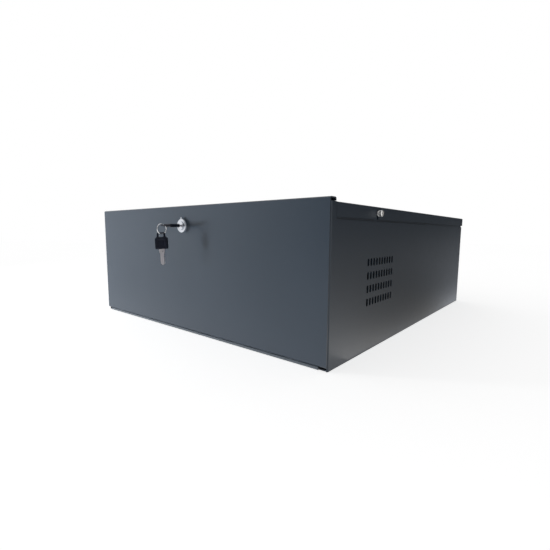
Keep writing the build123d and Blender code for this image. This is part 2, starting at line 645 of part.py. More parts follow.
def fan_guard_rings():
    """The guard's four wire rings, on the outside of its spokes."""
    centre = Pos(FAN_CENTRE[0], REAR_Y + 3 * GUARD_WIRE_R, FAN_CENTRE[1]) * Rot(90, 0, 0)
    radii = [(i + 1) * GUARD_RING_STEP for i in range(GUARD_RING_COUNT)]
    return Compound([centre * Torus(radius, GUARD_WIRE_R) for radius in radii])


def fan_guard_spokes():
    """The guard's four wire spokes, flat against the rear panel, each with a screw eye at its end."""
    reach = FAN_HOLE_PITCH / 2 * 2 ** 0.5
    start = GUARD_RING_STEP - GUARD_WIRE_R
    spokes = []
    for cx, cz in fan_corners():
        turn = degrees(atan2(cx - FAN_CENTRE[0], cz - FAN_CENTRE[1]))
        rod = Cylinder(GUARD_WIRE_R, reach - start - 3.0, align=(Align.CENTER, Align.CENTER, Align.MIN))
        spoke = Pos(FAN_CENTRE[0], REAR_Y + GUARD_WIRE_R, FAN_CENTRE[1]) * Rot(0, turn, 0) * Pos(0, 0, start) * rod
        spoke += rod_y(REAR_Y, REAR_Y + 2 * GUARD_WIRE_R, cx, cz, GUARD_EYE_R)
        spokes.append(spoke - rod_y(REAR_Y - 1, REAR_Y + 3 * GUARD_WIRE_R, cx, cz, FAN_SCREW_R + HOLE_CLEAR))
    return Compound(spokes)


def fan_screws():
    """Four screws through the guard, the panel and the fan's frame."""
    seat = REAR_Y + 2 * GUARD_WIRE_R
    head_r, head = FAN_SCREW_HEAD
    end = REAR_IN_Y - FAN_DEPTH - FAN_NUT[1] - 1.0
    group = []
    for x, z in fan_corners():
        top = rod_y(seat, seat + head, x, z, head_r)
        top = chamfer(top.faces().sort_by(Axis.Y)[-1].edges(), 0.7)
        group.append(top + rod_y(end, seat, x, z, FAN_SCREW_R))
    return Compound(group)


def fan_nuts():
    """Hexagon nuts at the front face of the fan's frame."""
    flats, thick = FAN_NUT
    back = REAR_IN_Y - FAN_DEPTH
    group = []
    for x, z in fan_corners():
        ring = RegularPolygon(flats / 2, 6, major_radius=False) - Circle(FAN_SCREW_R)
        group.append(plate_y(Pos(x, z) * ring, back - thick, back))
    return Compound(group)


def cable_grommets():
    """Two rubber grommets that line the cable holes."""
    group = []
    for x in GROMMET_X:
        body = rod_y(REAR_IN_Y - GROMMET_LIP, REAR_Y + GROMMET_LIP, x, GROMMET_Z, GROMMET_HOLE_R)
        for y in (REAR_IN_Y - GROMMET_LIP, REAR_Y):
            lip = rod_y(y, y + GROMMET_LIP, x, GROMMET_Z, GROMMET_LIP_R)
            face = lip.faces().sort_by(Axis.Y)[0 if y < REAR_IN_Y else -1]
            body += chamfer(face.edges(), 0.7)
        group.append(body - rod_y(REAR_IN_Y - 9, REAR_Y + 9, x, GROMMET_Z, GROMMET_BORE_R))
    return Compound(group)


def build():
    """Writes every node."""
    os.makedirs("parts", exist_ok=True)
    save(floor_pan(), "floor_pan")
    save(side_panel(-1), "left_side_panel")
    save(side_panel(1), "right_side_panel")
    save(rear_panel(), "rear_panel")
    save(front_top_rail(), "front_top_rail")
    save(front_door(), "front_door")
    save(door_hinge_body_leaf(), "door_hinge_body_leaf")
    save(door_hinge_door_leaf(), "door_hinge_door_leaf")
    save(hinge_pin(DOOR_AXIS, DOOR_HINGE_LENGTH, DOOR_PIN_R), "door_hinge_pin")
    save(top_lid(), "top_lid")
    save(lid_hinge_body_leaf(), "lid_hinge_body_leaf")
    save(lid_hinge_lid_leaf(), "lid_hinge_lid_leaf")
    save(hinge_pin(LID_AXIS, LID_HINGE_LENGTH, LID_PIN_R), "lid_hinge_pin")
    save(rivets(0, REAR_Y + LID_LEAF, REAR_IN_Y), "lid_hinge_body_rivets")
    save(rivets(1, LID_REAR_Y, LID_REAR_Y - SHEET - LID_LEAF), "lid_hinge_lid_rivets")
    save(lid_keeper(), "lid_keeper")
    save(thumbscrew(), "right_thumbscrew")
    save(mirror(thumbscrew(), about=Plane.YZ), "left_thumbscrew")
    save(clinch_nuts(), "thumbscrew_clinch_nuts")
    save(lock_housing(), "lock_housing")
    save(lock_nut(), "lock_nut")
    save(lock_plug(), "lock_plug")
    save(lock_cam(), "lock_cam")
    save(cam_screw(), "cam_screw")
    save(key_place() * flat_blade(), "key_blade")
    save(key_place() * flat_bow(), "key_bow")
    save(spare_place() * flat_blade(), "spare_key_blade")
    save(spare_place() * flat_bow(), "spare_key_bow")
    save(key_ring(), "key_ring")
    save(fan_frame(), "fan_frame")
    save(fan_rotor(), "fan_rotor")
    save(fan_guard_rings(), "fan_guard_rings")
    save(fan_guard_spokes(), "fan_guard_spokes")
    save(fan_screws(), "fan_screws")
    save(fan_nuts(), "fan_nuts")
    save(cable_grommets(), "cable_grommets")


build()
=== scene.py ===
"""Looks of the lock box: finishes, detailed pieces, a pale studio and the camera."""
import json
import math

import bpy
import numpy as np
from mathutils import Matrix, Vector


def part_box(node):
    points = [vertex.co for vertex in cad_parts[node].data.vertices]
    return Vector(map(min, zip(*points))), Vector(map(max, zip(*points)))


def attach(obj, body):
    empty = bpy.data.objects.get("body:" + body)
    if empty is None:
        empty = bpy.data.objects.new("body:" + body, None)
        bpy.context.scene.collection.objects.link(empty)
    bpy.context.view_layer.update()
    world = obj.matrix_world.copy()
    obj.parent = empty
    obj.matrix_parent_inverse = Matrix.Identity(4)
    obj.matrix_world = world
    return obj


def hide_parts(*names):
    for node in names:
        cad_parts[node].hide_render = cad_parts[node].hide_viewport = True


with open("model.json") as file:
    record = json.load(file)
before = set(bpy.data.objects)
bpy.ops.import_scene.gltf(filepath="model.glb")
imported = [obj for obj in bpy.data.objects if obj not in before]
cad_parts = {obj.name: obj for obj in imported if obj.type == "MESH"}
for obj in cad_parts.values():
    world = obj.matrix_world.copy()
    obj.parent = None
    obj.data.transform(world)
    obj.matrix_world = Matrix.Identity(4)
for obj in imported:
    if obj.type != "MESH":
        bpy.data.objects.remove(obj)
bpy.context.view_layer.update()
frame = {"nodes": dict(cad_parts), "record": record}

# Pieces are worked out in millimetres, the studio and the camera in metres.
MM = 0.001
TURN = 2 * np.pi


# Materials

# Noise stays mostly between these two values, so colours and sheens are spread over them.
NOISE_SPAN = (0.3, 0.7)


def new_material(name):
    """A new material, with its node tree, its shader and the node that gives coordinates."""
    material = bpy.data.materials.new(name)
    material.use_nodes = True
    tree = material.node_tree
    shader = tree.nodes["Principled BSDF"]
    coords = tree.nodes.new("ShaderNodeTexCoord")
    return material, tree, shader, coords


def noise(tree, coords, scale, detail=2.0, stretch=(1.0, 1.0, 1.0)):
    """Noise over object coordinates. A stretch below 1 for an axis draws the noise out along it."""
    mapping = tree.nodes.new("ShaderNodeMapping")
    mapping.inputs["Scale"].default_value = stretch
    texture = tree.nodes.new("ShaderNodeTexNoise")
    texture.inputs["Scale"].default_value = scale
    texture.inputs["Detail"].default_value = detail
    tree.links.new(coords.outputs["Object"], mapping.inputs["Vector"])
    tree.links.new(mapping.outputs["Vector"], texture.inputs["Vector"])
    return texture.outputs["Fac"]


def ramp(tree, value, low, high):
    """Spreads noise between two colours, or between two numbers."""
    node = tree.nodes.new("ShaderNodeValToRGB")
    for stop, position, end in zip(node.color_ramp.elements, NOISE_SPAN, (low, high)):
        stop.position = position
        stop.color = (end, end, end, 1.0) if isinstance(end, float) else (*end, 1.0)
    tree.links.new(value, node.inputs["Fac"])
    return node.outputs["Color"]


def bump(tree, shader, heights, distance):
    """Bump from one or more heights in turn, each with its strength."""
    previous = None
    for height, strength in heights:
        node = tree.nodes.new("ShaderNodeBump")
        node.inputs["Strength"].default_value = strength
        node.inputs["Distance"].default_value = distance
        tree.links.new(height, node.inputs["Height"])
        if previous is not None:
            tree.links.new(previous, node.inputs["Normal"])
        previous = node.outputs["Normal"]
    tree.links.new(previous, shader.inputs["Normal"])


def powder_coat(name, low, high):
    """Satin powder coat: faint mottling between two colours, sheen that varies a little, and fine orange
    peel with a finer grit on it."""
    material, tree, shader, coords = new_material(name)
    mottle = noise(tree, coords, scale=9.0, detail=3.0)
    sheen = noise(tree, coords, scale=60.0)
    peel = noise(tree, coords, scale=700.0)
    grit = noise(tree, coords, scale=2600.0, detail=1.0)
    tree.links.new(ramp(tree, mottle, low, high), shader.inputs["Base Color"])
    tree.links.new(ramp(tree, sheen, 0.355, 0.37), shader.inputs["Roughness"])
    bump(tree, shader, [(peel, 0.16), (grit, 0.10)], distance=0.0002)
    return material


def steel(name, colour, rough, stretch=(1.0, 1.0, 1.0)):
    """Plated or rolled steel: darker flecks in colour and sheen, drawn out to streaks by the stretch."""
    material, tree, shader, coords = new_material(name)
    streaks = noise(tree, coords, scale=900.0, detail=3.0, stretch=stretch)
    darker = tuple(v * 0.86 for v in colour)
    tree.links.new(ramp(tree, streaks, darker, colour), shader.inputs["Base Color"])
    tree.links.new(ramp(tree, streaks, rough, rough + 0.12), shader.inputs["Roughness"])
    bump(tree, shader, [(streaks, 0.06)], distance=0.0001)
    shader.inputs["Metallic"].default_value = 1.0
    return material


def chrome(name, colour, rough):
    """Bright plating with the faintest haze."""
    material, tree, shader, coords = new_material(name)
    haze = noise(tree, coords, scale=400.0, detail=3.0)
    darker = tuple(v * 0.95 for v in colour)
    tree.links.new(ramp(tree, haze, darker, colour), shader.inputs["Base Color"])
    tree.links.new(ramp(tree, haze, rough, rough + 0.05), shader.inputs["Roughness"])
    shader.inputs["Metallic"].default_value = 1.0
    return material


def moulded(name, colour, rough, grain, scale, gloss=0.5):
    """Moulded plastic or rubber: faint paler patches and a fine grain."""
    material, tree, shader, coords = new_material(name)
    patches = noise(tree, coords, scale=120.0)
    fine = noise(tree, coords, scale)
    paler = tuple(v * 1.25 + 0.002 for v in colour)
    tree.links.new(ramp(tree, patches, colour, paler), shader.inputs["Base Color"])
    tree.links.new(ramp(tree, fine, rough, rough + 0.08), shader.inputs["Roughness"])
    bump(tree, shader, [(fine, grain)], distance=0.0001)
    shader.inputs["Specular IOR Level"].default_value = gloss
    return material


MATERIALS = {
    "case_paint": powder_coat("case_paint", (0.035, 0.054, 0.080), (0.039, 0.059, 0.087)),
    "hinge_steel": steel("hinge_steel", (0.40, 0.41, 0.43), rough=0.38, stretch=(0.02, 1.0, 1.0)),
    "rivet_steel": steel("rivet_steel", (0.46, 0.47, 0.48), rough=0.36),
    "zinc_steel": steel("zinc_steel", (0.62, 0.63, 0.62), rough=0.28),
    "key_steel": steel("key_steel", (0.62, 0.60, 0.64), rough=0.40, stretch=(1.0, 1.0, 0.08)),
    "screw_nickel": chrome("screw_nickel", (0.88, 0.88, 0.87), rough=0.32),
    "lock_chrome": chrome("lock_chrome", (0.66, 0.69, 0.74), rough=0.10),
    "ring_steel": chrome("ring_steel", (0.80, 0.81, 0.83), rough=0.10),
    "guard_steel": chrome("guard_steel", (0.72, 0.73, 0.74), rough=0.14),
    "key_plastic": moulded("key_plastic", (0.004, 0.007, 0.018), rough=0.38, grain=0.10, scale=1800.0,
                           gloss=0.25),
    "fan_plastic": moulded("fan_plastic", (0.016, 0.016, 0.017), rough=0.42, grain=0.12, scale=1500.0),
    "rubber": moulded("rubber", (0.014, 0.014, 0.014), rough=0.62, grain=0.20, scale=2200.0),
}

record_slots = {entry["node"]: entry["material_slot"] for entry in frame["record"]["subparts"]}
for node_name, obj in frame["nodes"].items():
    obj.data.materials.clear()
    obj.data.materials.append(MATERIALS[record_slots[node_name]])

# The door hinge's leaves get a paler coat. Its colour is painted light: it stands in for the light that
# the white floor throws up onto the strip under the door.
painted_bounce_coat = powder_coat("painted_bounce_coat", (0.115, 0.138, 0.168), (0.138, 0.162, 0.192))
for node_name in ("door_hinge_body_leaf", "door_hinge_door_leaf"):
    frame["nodes"][node_name].data.materials[0] = painted_bounce_coat


# Surfaces

# A point belongs to a cylinder where its radius is as near as this to the cylinder's.
NEAR = 0.05


def rounded(corners, radii, steps=6):
    """Profile through corners in turn. Each but the first and last is eased by a quadratic curve that
    leaves its sides at the given distance from the corner."""
    corners = np.array(corners, float)
    share = np.linspace(0.0, 1.0, steps)[:, None]
    points = [corners[:1]]
    for before, corner, after, radius in zip(corners[:-2], corners[1:-1], corners[2:], radii):
        start = corner + (before - corner) * radius / np.linalg.norm(before - corner)
        end = corner + (after - corner) * radius / np.linalg.norm(after - corner)
        points.append((1 - share) ** 2 * start + 2 * share * (1 - share) * corner + share ** 2 * end)
    return np.concatenate(points + [corners[-1:]])


def rounded_loop(corners, radii, steps=6):
    """Closed profile through corners in turn, each eased as in rounded()."""
    return rounded([corners[-1]] + corners + [corners[0]], radii, steps)[1:-1]


def turned(profile, columns=96):
    """Solid of revolution: each (radius, height) of a profile is carried once round the z axis. The
    profile of a closed solid starts and ends just off the axis, and skin() closes the rest."""
    angle = np.linspace(0.0, TURN, columns, endpoint=False)
    radius, height = np.array(profile, float).T[..., None]
    return np.stack(np.broadcast_arrays(radius * np.cos(angle), radius * np.sin(angle), height), -1)


def turned_ring(profile, columns=96):
    """Ring of revolution: a closed (radius, height) profile is carried once round the z axis."""
    return turned(profile, columns).transpose(1, 0, 2)


def polar(grid):
    """Radius, angle and height of each point about the z axis."""
    x, y, z = grid[..., 0], grid[..., 1], grid[..., 2]
    return np.hypot(x, y), np.arctan2(y, x), z


def ease(value):
    """0 below 0, 1 above 1, and a smooth rise between."""
    value = np.clip(value, 0.0, 1.0)
    return value * value * (3.0 - 2.0 * value)


def thread_wave(height, angle, pitch):
    """Triangle wave from 0 to 1 along the axis that climbs one pitch with each turn."""
    return np.abs(2 * ((height / pitch + angle / TURN) % 1.0) - 1)


def placed(points, origin, normal, up=(0.0, 0.0, 1.0)):
    """Points drawn round the z axis, moved so that z runs along a normal and y lies towards up."""
    z = np.array(normal, float) / np.linalg.norm(normal)
    x = np.cross(up, z)
    x = x / np.linalg.norm(x)
    return points @ np.stack([x, np.cross(z, x), z]) + np.array(origin, float)


def linked(name, data):
    """A new object that holds a mesh, a lamp or a camera, in the scene."""
    obj = bpy.data.objects.new(name, data)
    bpy.context.scene.collection.objects.link(obj)
    return obj


def skin_faces(rows, columns, ring):
    """Quads between the rows of a grid, and the fans that close its first and last row, as indices of
    points. The middles of these two rows come after the grid's own points."""
    index = np.arange(rows * columns).reshape(rows, columns)
    low, high = (index, np.roll(index, -1, 0)) if ring else (index[:-1], index[1:])
    quads = np.stack([low, np.roll(low, -1, 1), np.roll(high, -1, 1), high], -1).reshape(-1, 4)
    if ring:
        return quads, np.zeros((0, 3), int)
    first, last = index[0], index[-1]
    bottom = np.stack([np.full(columns, index.size), np.roll(first, -1), first], -1)
    top = np.stack([np.full(columns, index.size + 1), last, np.roll(last, -1)], -1)
    return quads, np.concatenate([bottom, top])


def skin(name, grids, ring=False, crease=35.0):
    """Mesh over one grid of points in millimetres, or over several alike. Each row of a grid is a closed
    loop, and rows join in turn. The end rows are closed by fans, or meet each other where the grid is a
    ring. Faces are turned round where the volume that they enclose comes out negative."""
    grids = np.asarray(grids, float)
    grids = grids[None] if grids.ndim == 3 else grids
    copies, rows, columns = grids.shape[:3]
    points = grids.reshape(copies, -1, 3) * MM
    if not ring:
        ends = [points[:, :columns], points[:, -columns:]]
        points = np.concatenate([points] + [end.mean(1, keepdims=True) for end in ends], 1)
    quads, fans = skin_faces(rows, columns, ring)
    halves = np.concatenate([quads[:, [0, 1, 2]], quads[:, [0, 2, 3]], fans])
    a, b, c = (points[0][halves[:, k]] for k in range(3))
    if np.einsum("ij,ij->", a, np.cross(b, c)) < 0:
        quads, fans = quads[:, ::-1], fans[:, ::-1]
    shift = (np.arange(copies) * points.shape[1])[:, None, None]
    faces = (quads[None] + shift).reshape(-1, 4).tolist() + (fans[None] + shift).reshape(-1, 3).tolist()
    mesh = bpy.data.meshes.new(name)
    mesh.from_pydata(points.reshape(-1, 3), [], faces)
    mesh.polygons.foreach_set("use_smooth", np.ones(len(mesh.polygons), bool))
    mesh.set_sharp_from_angle(angle=math.radians(crease))
    return linked(name, mesh)


def dress(obj, slot, body, node):
    """Gives a piece its finish and its body, and hides the CAD node that it stands for."""
    obj.data.materials.append(MATERIALS[slot])
    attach(obj, body)
    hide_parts(node)


def box_of(node):
    """Lowest and highest corner of a CAD node, in millimetres."""
    low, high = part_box(node)
    return np.array(low, float) / MM, np.array(high, float) / MM


def middle(node):
    """Centre of a CAD node's box, in millimetres."""
    low, high = box_of(node)
    return (low + high) / 2


# Thumbscrews

HEAD_R, HEAD_HEIGHT, FACE_SUNK = 4.1, 6.4, 0.12
NECK_R, COLLAR_R, COLLAR_HEIGHT = 2.9, 3.2, 1.0
SHANK_R, THREAD_DEPTH, THREAD_PITCH = 2.0, 0.22, 0.7
KNURLS, KNURL_DEPTH, KNURL_FADE = 34, 0.34, 0.3
DRIVE_WIDTH, DRIVE_DEPTH, DRIVE_WALL = 1.2, 1.1, 0.6
DRIVE_UP = (0.0, 0.35, 1.0)


def thumbscrew_grid(shank):
    """Profile carried round the axis: a threaded shank, a collar and a head. The radius dips by a rounded
    wave of the angle along the knurled band and by a helical wave along the thread, and the face sinks in
    a slot."""
    shoulder = shank + COLLAR_HEIGHT
    top = shoulder + HEAD_HEIGHT
    face = top - FACE_SUNK
    knurl_low, knurl_high = shoulder + 0.9, top - 0.95
    tip = [(0.2, 0.0), (SHANK_R - 0.5, 0.0)]
    shank_side = np.linspace((SHANK_R, 0.5), (SHANK_R, shank - 0.1), 60)
    collar = rounded([(SHANK_R, shank), (COLLAR_R, shank), (COLLAR_R, shoulder),
                      (NECK_R, shoulder + 0.15), (HEAD_R - 0.7, shoulder + 0.2),
                      (HEAD_R, knurl_low)], [0.2, 0.2, 0.1, 0.2])
    band = np.linspace((HEAD_R, shoulder + 1.0), (HEAD_R, top - 1.1), 14)
    rim = rounded([(HEAD_R, top - 1.0), (HEAD_R - 0.85, top), (HEAD_R - 1.3, face), (0.1, face)],
                  [0.3, 0.25])
    flat = np.linspace((HEAD_R - 1.35, face), (0.1, face), 18)
    grid = turned(np.concatenate([tip, shank_side, collar, band, rim[:-1], flat]), 10 * KNURLS)
    radius, angle, height = polar(grid)
    knurled = ease((height - knurl_low) / KNURL_FADE) * ease((knurl_high - height) / KNURL_FADE)
    knurled = knurled * (radius > HEAD_R - NEAR)
    threaded = (np.abs(radius - SHANK_R) < NEAR) & (height < shank - 0.2)
    dip = KNURL_DEPTH * knurled * (0.5 - 0.5 * np.cos(KNURLS * angle)) ** 0.8
    dip = dip + THREAD_DEPTH * threaded * thread_wave(height, angle, THREAD_PITCH)
    grid[..., :2] *= ((radius - dip) / radius)[..., None]
    across = np.abs(grid[..., 0])
    in_slot = ease((DRIVE_WIDTH / 2 + 0.08 - across) / 0.16) * (height > top - 1.05)
    grid[..., 2] -= DRIVE_DEPTH * in_slot * ease((HEAD_R - DRIVE_WALL - radius) / 0.1 + 1.0)
    return grid


for hand, side in (("right", 1), ("left", -1)):
    node = f"{hand}_thumbscrew"
    low, high = box_of(node)
    tip = low[0] if side > 0 else high[0]
    grid = thumbscrew_grid(high[0] - low[0] - HEAD_HEIGHT - COLLAR_HEIGHT)
    points = placed(grid, (tip, *middle(node)[1:]), (side, 0, 0), DRIVE_UP)
    dress(skin(f"{node}_turned", points), "screw_nickel", f"{hand}_screw", node)


# Lock

BEZEL_R, BEZEL_HEIGHT, DISH = 11.0, 5.8, 1.05
PLUG_R, BEZEL_GAP, BARREL_GAP = 6.0, 0.08, 0.05
BARREL_R, BARREL_FLATS, BARREL_NECK = 9.4, 16.4, 1.6
BARREL_THREAD, BARREL_PITCH = 0.45, 1.0
POINTER_WIDTH, POINTER_RISE = 3.6, 2.5


def bezel_grid():
    """Closed profile carried round the lock's axis: a rounded rim and a face that sinks as a cone to the
    bore."""
    bore, top = PLUG_R + BEZEL_GAP, BEZEL_HEIGHT
    back = [(bore, 0.0), (BEZEL_R - 0.3, 0.0), (BEZEL_R, 0.3)]
    rim = [(BEZEL_R, top * 0.55), (BEZEL_R - 0.5, top * 0.9), (BEZEL_R - 1.4, top)]
    face = [(bore + 0.25, top - DISH), (bore, top - DISH - 0.25)]
    return turned_ring(rounded_loop(back + rim + face, [0.0, 0.1, 0.2, 1.3, 0.5, 0.5, 0.15, 0.1]), 144)


def pointer_grid():
    """Round-topped lug: its outline is carried outward along the lock's axis and drawn in at the back,
    and more so at the front."""
    half = POINTER_WIDTH / 2
    angle = np.linspace(0.0, TURN, 48, endpoint=False)
    x = half * np.cos(angle)
    round_top = BEZEL_R + POINTER_RISE - half + half * np.sin(angle)
    y = np.where(np.sin(angle) > 0, round_top, BEZEL_R - 1.0)
    level = BEZEL_HEIGHT * np.array([0.3, 0.36, 0.7, 0.82, 0.87, 0.9])[:, None]
    scale = 1.0 - np.array([0.4, 0.1, 0.0, 0.12, 0.4, 0.9])[:, None] / half
    return np.stack(np.broadcast_arrays(x * scale, BEZEL_R + (y - BEZEL_R) * scale, level), -1)


def barrel_grid(length):
    """Threaded barrel with two flats: at each angle the radius is the thread's wave or the flat,
    whichever is less, and the bore closes the profile inside."""
    angle = np.linspace(0.0, TURN, 144, endpoint=False)[:, None]
    depth = np.linspace(0.0, length, 90)
    thread = BARREL_R - BARREL_THREAD * thread_wave(depth, angle, BARREL_PITCH)
    flat = (BARREL_FLATS / 2) / np.maximum(np.abs(np.sin(angle)), 0.001)
    outside = np.minimum(np.where(depth < BARREL_NECK, BARREL_R, thread), flat)
    bore = np.full((144, 2), PLUG_R + BARREL_GAP)
    radius = np.concatenate([outside, bore], 1)
    depth = np.concatenate([depth, [length, 0.0]])
    return np.stack(np.broadcast_arrays(radius * np.cos(angle), radius * np.sin(angle), -depth), -1)


lock_x, _, lock_z = middle("lock_plug")
door_face = box_of("front_door")[0][1]
barrel_end = box_of("lock_housing")[1][1]
for name, grid, ring in (("lock_bezel", bezel_grid(), True), ("lock_pointer", pointer_grid(), False),
                         ("lock_barrel", barrel_grid(barrel_end - door_face), True)):
    points = placed(grid, (lock_x, door_face, lock_z), (0, -1, 0))
    dress(skin(name, points, ring), "lock_chrome", "door", "lock_housing")


# Keys and their ring

BOW_WIDTH, BOW_LENGTH, BOW_THICKNESS = 19.6, 17.4, 4.6
TAB_WIDTH, TAB_THICKNESS = 13.0, 1.8
SLOT_WIDTH, SLOT_HEIGHT, SLOT_WEB, SLOT_BRIDGE = 8.6, 5.0, 0.8, 2.0
PANEL_SIDE, PANEL_END, PANEL_DEPTH = 3.4, 3.2, 0.45
OUTLINE_ROUND, SLOT_ROUND = 0.7, 0.3
SPARE_TURN, SPARE_TILT, SPARE_SHIFT = math.radians(30.0), math.radians(5.0), 1.9
RING_R, RING_WIRE_R, RING_PLAY = 7.7, 0.7, 0.3

# Where the ring's ends lie, as an angle, and how much of a turn the step between its two turns takes.
RING_END_ANGLE, RING_STEP = 0.6, 0.14


def bow_outline():
    """Outline of the grip, its shoulders and the tab that holds the slot: one side's corners, then their
    mirror image."""
    half, tab = BOW_WIDTH / 2, TAB_WIDTH / 2
    end = -BOW_LENGTH - SLOT_WEB - SLOT_HEIGHT - SLOT_BRIDGE
    right = [(half, 0.0), (half, 1.2 - BOW_LENGTH), (tab + 0.4, -BOW_LENGTH - 1.4), (tab, end)]
    left = [(-x, y) for x, y in reversed(right)]
    easing = [1.8, 1.6, 1.4, 3.6]
    return rounded_loop(right + left, easing + easing[::-1], 14)


def slot_outline():
    """Outline of the bow's slot, round its own middle."""
    x, y = SLOT_WIDTH / 2, SLOT_HEIGHT / 2
    return rounded_loop([(x, -y), (-x, -y), (-x, y), (x, y)], [0.9] * 4, 10)


def along(loop, count):
    """Points at even steps along a closed outline."""
    closed = np.concatenate([loop, loop[:1]])
    run = np.concatenate([[0.0], np.cumsum(np.hypot(*np.diff(closed, axis=0).T))])
    at = np.linspace(0.0, run[-1], count, endpoint=False)
    return np.stack([np.interp(at, run, closed[:, k]) for k in range(2)], -1)


def reach_of(loop, angle):
    """Distance from the origin to a convex outline in each direction."""
    around = np.arctan2(loop[:, 1], loop[:, 0])
    order = np.argsort(around)
    return np.interp(angle, around[order], np.hypot(*loop.T)[order], period=TURN)


def bow_grid():
    """Moulded bow as a ring round its slot. In each direction from the slot's middle a section runs out
    to the outline over the top and back under it. Its height is the tab's, rising smoothly to the grip's,
    less a sunk panel, and it falls away in a quarter circle at the outline and at the slot's edge."""
    centre = np.array([0.0, -BOW_LENGTH - SLOT_WEB - SLOT_HEIGHT / 2])
    ray = along(bow_outline(), 320) - centre
    far = np.hypot(*ray.T)[:, None]
    near = reach_of(along(slot_outline(), 600), np.arctan2(ray[:, 1], ray[:, 0]))[:, None]
    quarter = np.linspace(0.0, np.pi / 2, 6)
    share = np.linspace(0.0, 1.0, 72)[1:-1]
    rising = near + SLOT_ROUND * (1 - np.cos(quarter))
    level = near + SLOT_ROUND + (far - near - SLOT_ROUND - OUTLINE_ROUND) * share
    falling = far - OUTLINE_ROUND * (1 - np.sin(quarter))
    reach = np.concatenate([rising, level, falling], 1)
    drop = np.concatenate([SLOT_ROUND * (1 - np.sin(quarter)), 0 * share,
                           OUTLINE_ROUND * (1 - np.cos(quarter))])
    x, y = np.moveaxis(centre + (ray / far)[:, None, :] * reach[..., None], -1, 0)
    grip = ease((y + BOW_LENGTH + 0.1) / 0.9)
    height = (TAB_THICKNESS + (BOW_THICKNESS - TAB_THICKNESS) * grip) / 2
    beyond_panel = np.maximum(np.abs(x) - (BOW_WIDTH / 2 - PANEL_SIDE),
                              np.abs(y + BOW_LENGTH / 2) - (BOW_LENGTH / 2 - PANEL_END))
    height = height - PANEL_DEPTH * ease(-beyond_panel / 0.5) - drop * (0.5 + 0.5 * grip)
    upper = np.stack([x, y, height], -1)
    lower = np.stack([x, y, -height], -1)[:, ::-1]
    return np.concatenate([upper, lower], 1)


def rotation(axis, angle):
    """Matrix that turns points about x, y or z, given as 0, 1 or 2."""
    i, j = (axis + 1) % 3, (axis + 2) % 3
    matrix = np.eye(3)
    matrix[i, i] = matrix[j, j] = math.cos(angle)
    matrix[j, i], matrix[i, j] = math.sin(angle), -math.sin(angle)
    return matrix


def spare_bow_grid():
    """Bow of the spare key: stood up, turned about the upright, tilted about y, and hung by its slot from
    the lowest place of the ring's wire."""
    stood = rotation(0, -np.pi / 2)
    hung = rotation(1, -SPARE_TILT) @ rotation(2, SPARE_TURN)
    down = RING_WIRE_R + RING_PLAY - BOW_LENGTH - SLOT_WEB - SLOT_HEIGHT
    lowest = middle("key_ring") - np.array([0.0, 0.0, RING_R])
    return bow_grid() @ (hung @ stood).T + lowest + hung @ np.array([-SPARE_SHIFT, 0.0, down])


def split_ring_grid():
    """Split ring: a squared oval section carried twice round a circle, its two turns side by side, and
    stepping from one to the other half way."""
    turns = np.linspace(0.01, 1.99, 240)[:, None]
    step = 2 * ease((turns - 1.0) / RING_STEP + 0.5) - 1
    angle = TURN * turns + RING_END_ANGLE
    around = np.linspace(0.0, TURN, 20, endpoint=False)
    thin, deep = RING_WIRE_R * 0.5, RING_WIRE_R * 0.9
    wide = 0.98 * thin * np.sign(np.cos(around)) * np.abs(np.cos(around)) ** 0.7
    radius = RING_R + deep * np.sign(np.sin(around)) * np.abs(np.sin(around)) ** 0.7
    return np.stack([thin * step + wide, radius * np.cos(angle), radius * np.sin(angle)], -1)


key_x, _, key_z = middle("key_bow")
key_bow = bow_grid() + np.array([key_x, box_of("key_bow")[1][1], key_z])
dress(skin("key_bow_moulded", key_bow, True), "key_plastic", "key", "key_bow")
dress(skin("spare_key_bow_moulded", spare_bow_grid(), True), "key_plastic", "spare_key", "spare_key_bow")
dress(skin("split_ring", split_ring_grid() + middle("key_ring")), "ring_steel", "ring", "key_ring")


# Fan

FAN_SIZE, FAN_R, FAN_BLADES = 120.0, 55.5, 7
HUB_R, HUB_LONG, HUB_WALL, HUB_FLOOR = 20.0, 18.7, 2.0, 2.4
HUB_RIM, HUB_DISH = 6.0, 0.6
AXLE_R, AXLE_LONG = 1.5, 21.0

# A blade's span in degrees and its depth, each at the root and at the tip.
BLADE_SPAN, BLADE_DEPTH = (58.0, 63.0), (16.4, 14.8)
BLADE_SWEEP, BLADE_CAMBER, BLADE_HALF_THICKNESS, BLADE_BURIED = 14.0, 1.1, 0.9, 0.6


def hub_grid():
    """Cup carried round the axle: an eased front rim, a shallow dish in its face, and the axle inside."""
    rim, bore = HUB_R - HUB_RIM, HUB_R - HUB_WALL
    outside = rounded([(0.1, HUB_DISH), (rim - 0.5, HUB_DISH), (rim, 0.0), (HUB_R, 0.0),
                       (HUB_R, HUB_LONG)], [0.3, 0.3, 1.8])
    inside = rounded([(bore, HUB_LONG), (bore, HUB_FLOOR), (AXLE_R, HUB_FLOOR), (AXLE_R, AXLE_LONG),
                      (0.1, AXLE_LONG)], [1.0, 0.2, 0.3])
    return turned(np.concatenate([outside, inside]))


